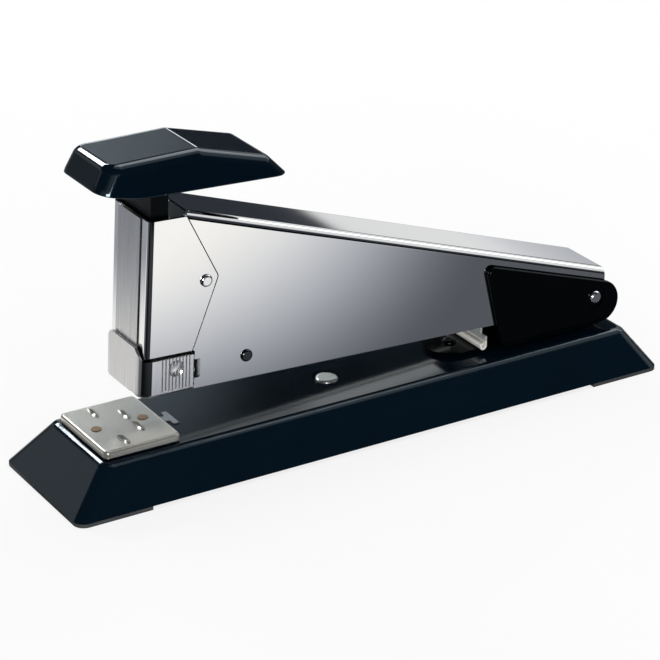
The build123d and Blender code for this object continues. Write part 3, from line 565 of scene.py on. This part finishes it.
def tone_in_front(x, y):
    """Painted shade along the near side, paler towards the viewer, and dark again further out."""
    slant = 0.36
    bow = 4.0
    dark_until = 0.020
    pale_from = 0.145
    fade_from = 0.170
    fade_to = 0.205
    darkest = 0.10
    gain = 0.92
    ahead = 0 - y
    pale = (ahead - slant * x - bow * (x * x)).rise(dark_until, pale_from)
    return (darkest + gain * pale) * ahead.rise(fade_to, fade_from)


def nose_shade_wedge(x, y):
    """1 on the wedge of painted shade on the table beside the nose, and 0 elsewhere."""
    corner_x = -0.0626
    corner_y = -0.009
    side_way = (-0.883, -0.469)
    front_way = (0.50, -0.866)
    from_x = x - corner_x
    from_y = y - corner_y
    past_side = reach(from_x, from_y, side_way).rise(0.010, 0.020)
    short_of_front = reach(from_x, from_y, front_way).rise(-0.030, -0.018)
    return past_side * short_of_front


def tone_behind(x, y):
    """A painted pale patch of light close behind the stapler, darker further off."""
    nose_x = -0.064
    outward = (0.524, 0.852)
    pale_until = 0.090
    dark_from = 0.175
    darkest = 0.33
    gain = 0.62
    past_nose = (0 - x + nose_x).most(0.0)
    pale = reach(past_nose, y, outward).rise(dark_from, pale_until)
    return (darkest + gain * pale) * y.rise(0.0, 0.03)


def light_band_behind(x, y):
    """A painted bright band of light close behind the rear half."""
    brightness = 1.7
    return brightness * x.rise(-0.01, 0.02) * y.rise(0.0, 0.03) * y.rise(0.055, 0.048)


def tone_far_off(x, y):
    """Painted light, slowly paler with the distance to the right and the back."""
    right_back = (0.64, 0.77)
    darkest = 0.27
    gain = 0.22
    palest = 0.74
    distance = reach(x, y, right_back)
    return (darkest + gain * distance).least(palest) * distance.rise(0.5, 0.8)


def bare_finish(name):
    """A finish without a shader, the start of its wires, and the place on the surface in metres."""
    material = bpy.data.materials.new(name)
    material.use_nodes = True
    material.node_tree.nodes.clear()
    start = Wire(material.node_tree)
    return material, start, start.node("ShaderNodeTexCoord", output="Object")


def table_finish():
    wedge_depth = 0.96
    white_share = 0.8
    cool_grey = (0.99, 1.06, 1.22)
    warm_white = (1.05, 1.03, 0.99)
    material, start, place = bare_finish("white_table")
    x = place.part(0)
    y = place.part(1)
    # Painted light and shade on the table, seen only in reflections.
    near_tone = tone_in_front(x, y) * (1 - wedge_depth * nose_shade_wedge(x, y))
    tone = near_tone.most(tone_behind(x, y)).most(tone_far_off(x, y) + light_band_behind(x, y))
    grey = tone.tint(cool_grey, warm_white).times(tone)
    camera = start.node("ShaderNodeLightPath", output="Is Camera Ray")
    glossy = start.node("ShaderNodeLightPath", output="Is Glossy Ray")
    through = start.node("ShaderNodeLightPath", output="Is Transmission Ray")
    matt = start.node("ShaderNodeBsdfDiffuse", None, {"Color": (0.85, 0.85, 0.85, 1)})
    white = start.node("ShaderNodeEmission", None, {"Color": (1, 1, 1, 1)})
    shown = start.node("ShaderNodeMixShader", None, {0: white_share * camera, 1: matt, 2: white})
    mirrored = start.node("ShaderNodeEmission", None, {"Color": grey})
    whole = start.node("ShaderNodeMixShader", None, {0: glossy + through, 1: shown, 2: mirrored})
    start.node("ShaderNodeOutputMaterial", None, {"Surface": whole})
    return material


def stage_sheet(name, corners, finish):
    """A flat sheet that belongs to the studio and not to the stapler."""
    mesh = bpy.data.meshes.new(name)
    mesh.from_pydata(corners, [], [(0, 1, 2, 3)])
    sheet = bpy.data.objects.new(name, mesh)
    bpy.context.scene.collection.objects.link(sheet)
    sheet.data.materials.append(finish)


table_half = 2.0
table_corners = [
    (-table_half, -table_half, 0),
    (table_half, -table_half, 0),
    (table_half, table_half, 0),
    (-table_half, table_half, 0),
]
stage_sheet("table", table_corners, table_finish())

# Studio
# A white room, lit evenly. In the metal it is mostly dark, with pale walls to the right, at the
# back and in front, four soft lights, and behind the stapler a card with a bright bar.


def toward(x, y, degrees):
    """1 in the direction of a turn from the hinge end, and less beside it."""
    turn = math.radians(degrees)
    return reach(x, y, (math.cos(turn), math.sin(turn)))


def room_level(start):
    """How bright the room is in the metal, in each direction. The ends of the walls are turns from
    the hinge end in radians, and their heights are sines of the angle up."""
    horizon_level = 0.79
    right_level = 0.8
    front_level = 0.45
    direction = start.node("ShaderNodeTexCoord", output="Generated")
    x = direction.part(0)
    y = direction.part(1)
    height = direction.part(2)
    horizon = height.rise(0.0090, 0.0064) * toward(x, y, degrees=50).rise(0.80, 0.97)
    back_level = 0.15 + 0.35 * height.rise(0.22, 0.34)
    back_wall = toward(x, y, degrees=124).rise(0.70, 0.92) * height.rise(0.55, 0.40)
    turn = start.math("ARCTAN2", y, x)
    right_end = turn - 0.20 * height.rise(0.50, 0.62)
    right_wall = turn.rise(-0.80, -0.62) * right_end.rise(0.87, 0.79) * height.rise(0.18, 0.30)
    front_span = turn.rise(-1.25, -1.45) * turn.rise(-2.9, -2.6)
    front_wall = front_span * height.rise(0.03, 0.08) * height.rise(0.42, 0.26)
    pale_back = horizon_level * horizon + back_level * back_wall
    return pale_back + right_level * right_wall + front_level * front_wall


def white_room():
    dark = (0.028, 0.033, 0.041)
    even = (0.6, 0.6, 0.6)
    white = (1.0, 1.0, 1.0)
    world = bpy.data.worlds.new("studio")
    world.use_nodes = True
    world.node_tree.nodes.clear()
    start = Wire(world.node_tree)
    camera = start.node("ShaderNodeLightPath", output="Is Camera Ray")
    glossy = start.node("ShaderNodeLightPath", output="Is Glossy Ray")
    mirrored = room_level(start).tint(dark, white)
    shown = camera.tint(glossy.tint(even, mirrored), white)
    background = start.node("ShaderNodeBackground", None, {"Color": shown})
    start.node("ShaderNodeOutputWorld", None, {"Surface": background})
    return world


bpy.context.scene.world = white_room()


def soft_light(name, place, aim, width, depth, radiance):
    """A rectangular light of a set brightness, aimed at a point."""
    lamp = bpy.data.lights.new(name, "AREA")
    lamp.shape = "RECTANGLE"
    lamp.size = width
    lamp.size_y = depth
    lamp.energy = radiance * math.pi * width * depth
    light = bpy.data.objects.new(name, lamp)
    bpy.context.scene.collection.objects.link(light)
    light.location = place
    light.rotation_euler = (Vector(aim) - Vector(place)).to_track_quat("-Z", "Y").to_euler()


soft_light(
    "overhead",
    place=(0.40, 0.26, 0.72),
    aim=(0, 0, 0.03),
    width=0.45,
    depth=0.45,
    radiance=3.0,
)
soft_light(
    "right_strip",
    place=(0.66, 0.02, 0.50),
    aim=(-0.02, 0, 0.06),
    width=0.12,
    depth=0.40,
    radiance=3.0,
)
soft_light(
    "back_strip",
    place=(0.0, 0.65, 0.50),
    aim=(-0.02, 0, 0.03),
    width=0.40,
    depth=0.045,
    radiance=24.0,
)
soft_light(
    "low_fill",
    place=(-0.25, -0.55, 0.10),
    aim=(0.04, 0, 0.014),
    width=0.25,
    depth=0.10,
    radiance=30.0,
)


def glow_finish():
    """A lit card: a bright bar low down, and above it a faint band that fades to the right."""
    band_level = 0.85
    bar_level = 5.0
    blue_white = (0.82, 0.94, 1.02)
    white = (0.95, 1.0, 1.03)
    material, start, place = bare_finish("glow_card")
    x = place.part(0)
    z = place.part(2)
    band = z.rise(0.345, 0.375) * z.rise(0.432, 0.408) * x.rise(0.385, 0.30)
    fade = 0.72 + 0.28 * x.rise(0.31, 0.24)
    bar = z.rise(0.20, 0.23) * z.rise(0.31, 0.28)
    glow = bar.tint(blue_white, white).times(band_level * band * fade + bar_level * bar)
    light = start.node("ShaderNodeEmission", None, {"Color": glow})
    start.node("ShaderNodeOutputMaterial", None, {"Surface": light})
    return material


card_left = 0.15
card_right = 0.46
card_y = 0.70
card_bottom = 0.19
card_top = 0.45
card_corners = [
    (card_left, card_y, card_bottom),
    (card_right, card_y, card_bottom),
    (card_right, card_y, card_top),
    (card_left, card_y, card_top),
]
stage_sheet("glow_card", card_corners, glow_finish())

# Camera
# It looks from the nose end, the near side and above, as the photograph does, through a long
# lens that is turned by a fraction of a degree.

azimuth = math.radians(31.63)
elevation = math.radians(24.54)
roll = math.radians(0.29)
camera_distance = 0.6733
target = Vector((-0.00457, 0.0, 0.02546))
back = Vector((
    -math.sin(azimuth) * math.cos(elevation),
    -math.cos(azimuth) * math.cos(elevation),
    math.sin(elevation),
))
right = Vector((math.cos(azimuth), -math.sin(azimuth), 0))
up = back.cross(right)
turned_right = math.cos(roll) * right + math.sin(roll) * up
turned_up = -math.sin(roll) * right + math.cos(roll) * up
lens = bpy.data.cameras.new("camera")
lens.sensor_width = 36.0
lens.lens = 141.4
lens.clip_start = 0.01
viewer = bpy.data.objects.new("camera", lens)
bpy.context.scene.collection.objects.link(viewer)
facing = Matrix((turned_right, turned_up, back)).transposed().to_4x4()
viewer.matrix_world = Matrix.Translation(target + camera_distance * back) @ facing
bpy.context.scene.camera = viewer
bpy.context.scene.view_settings.view_transform = "Standard"
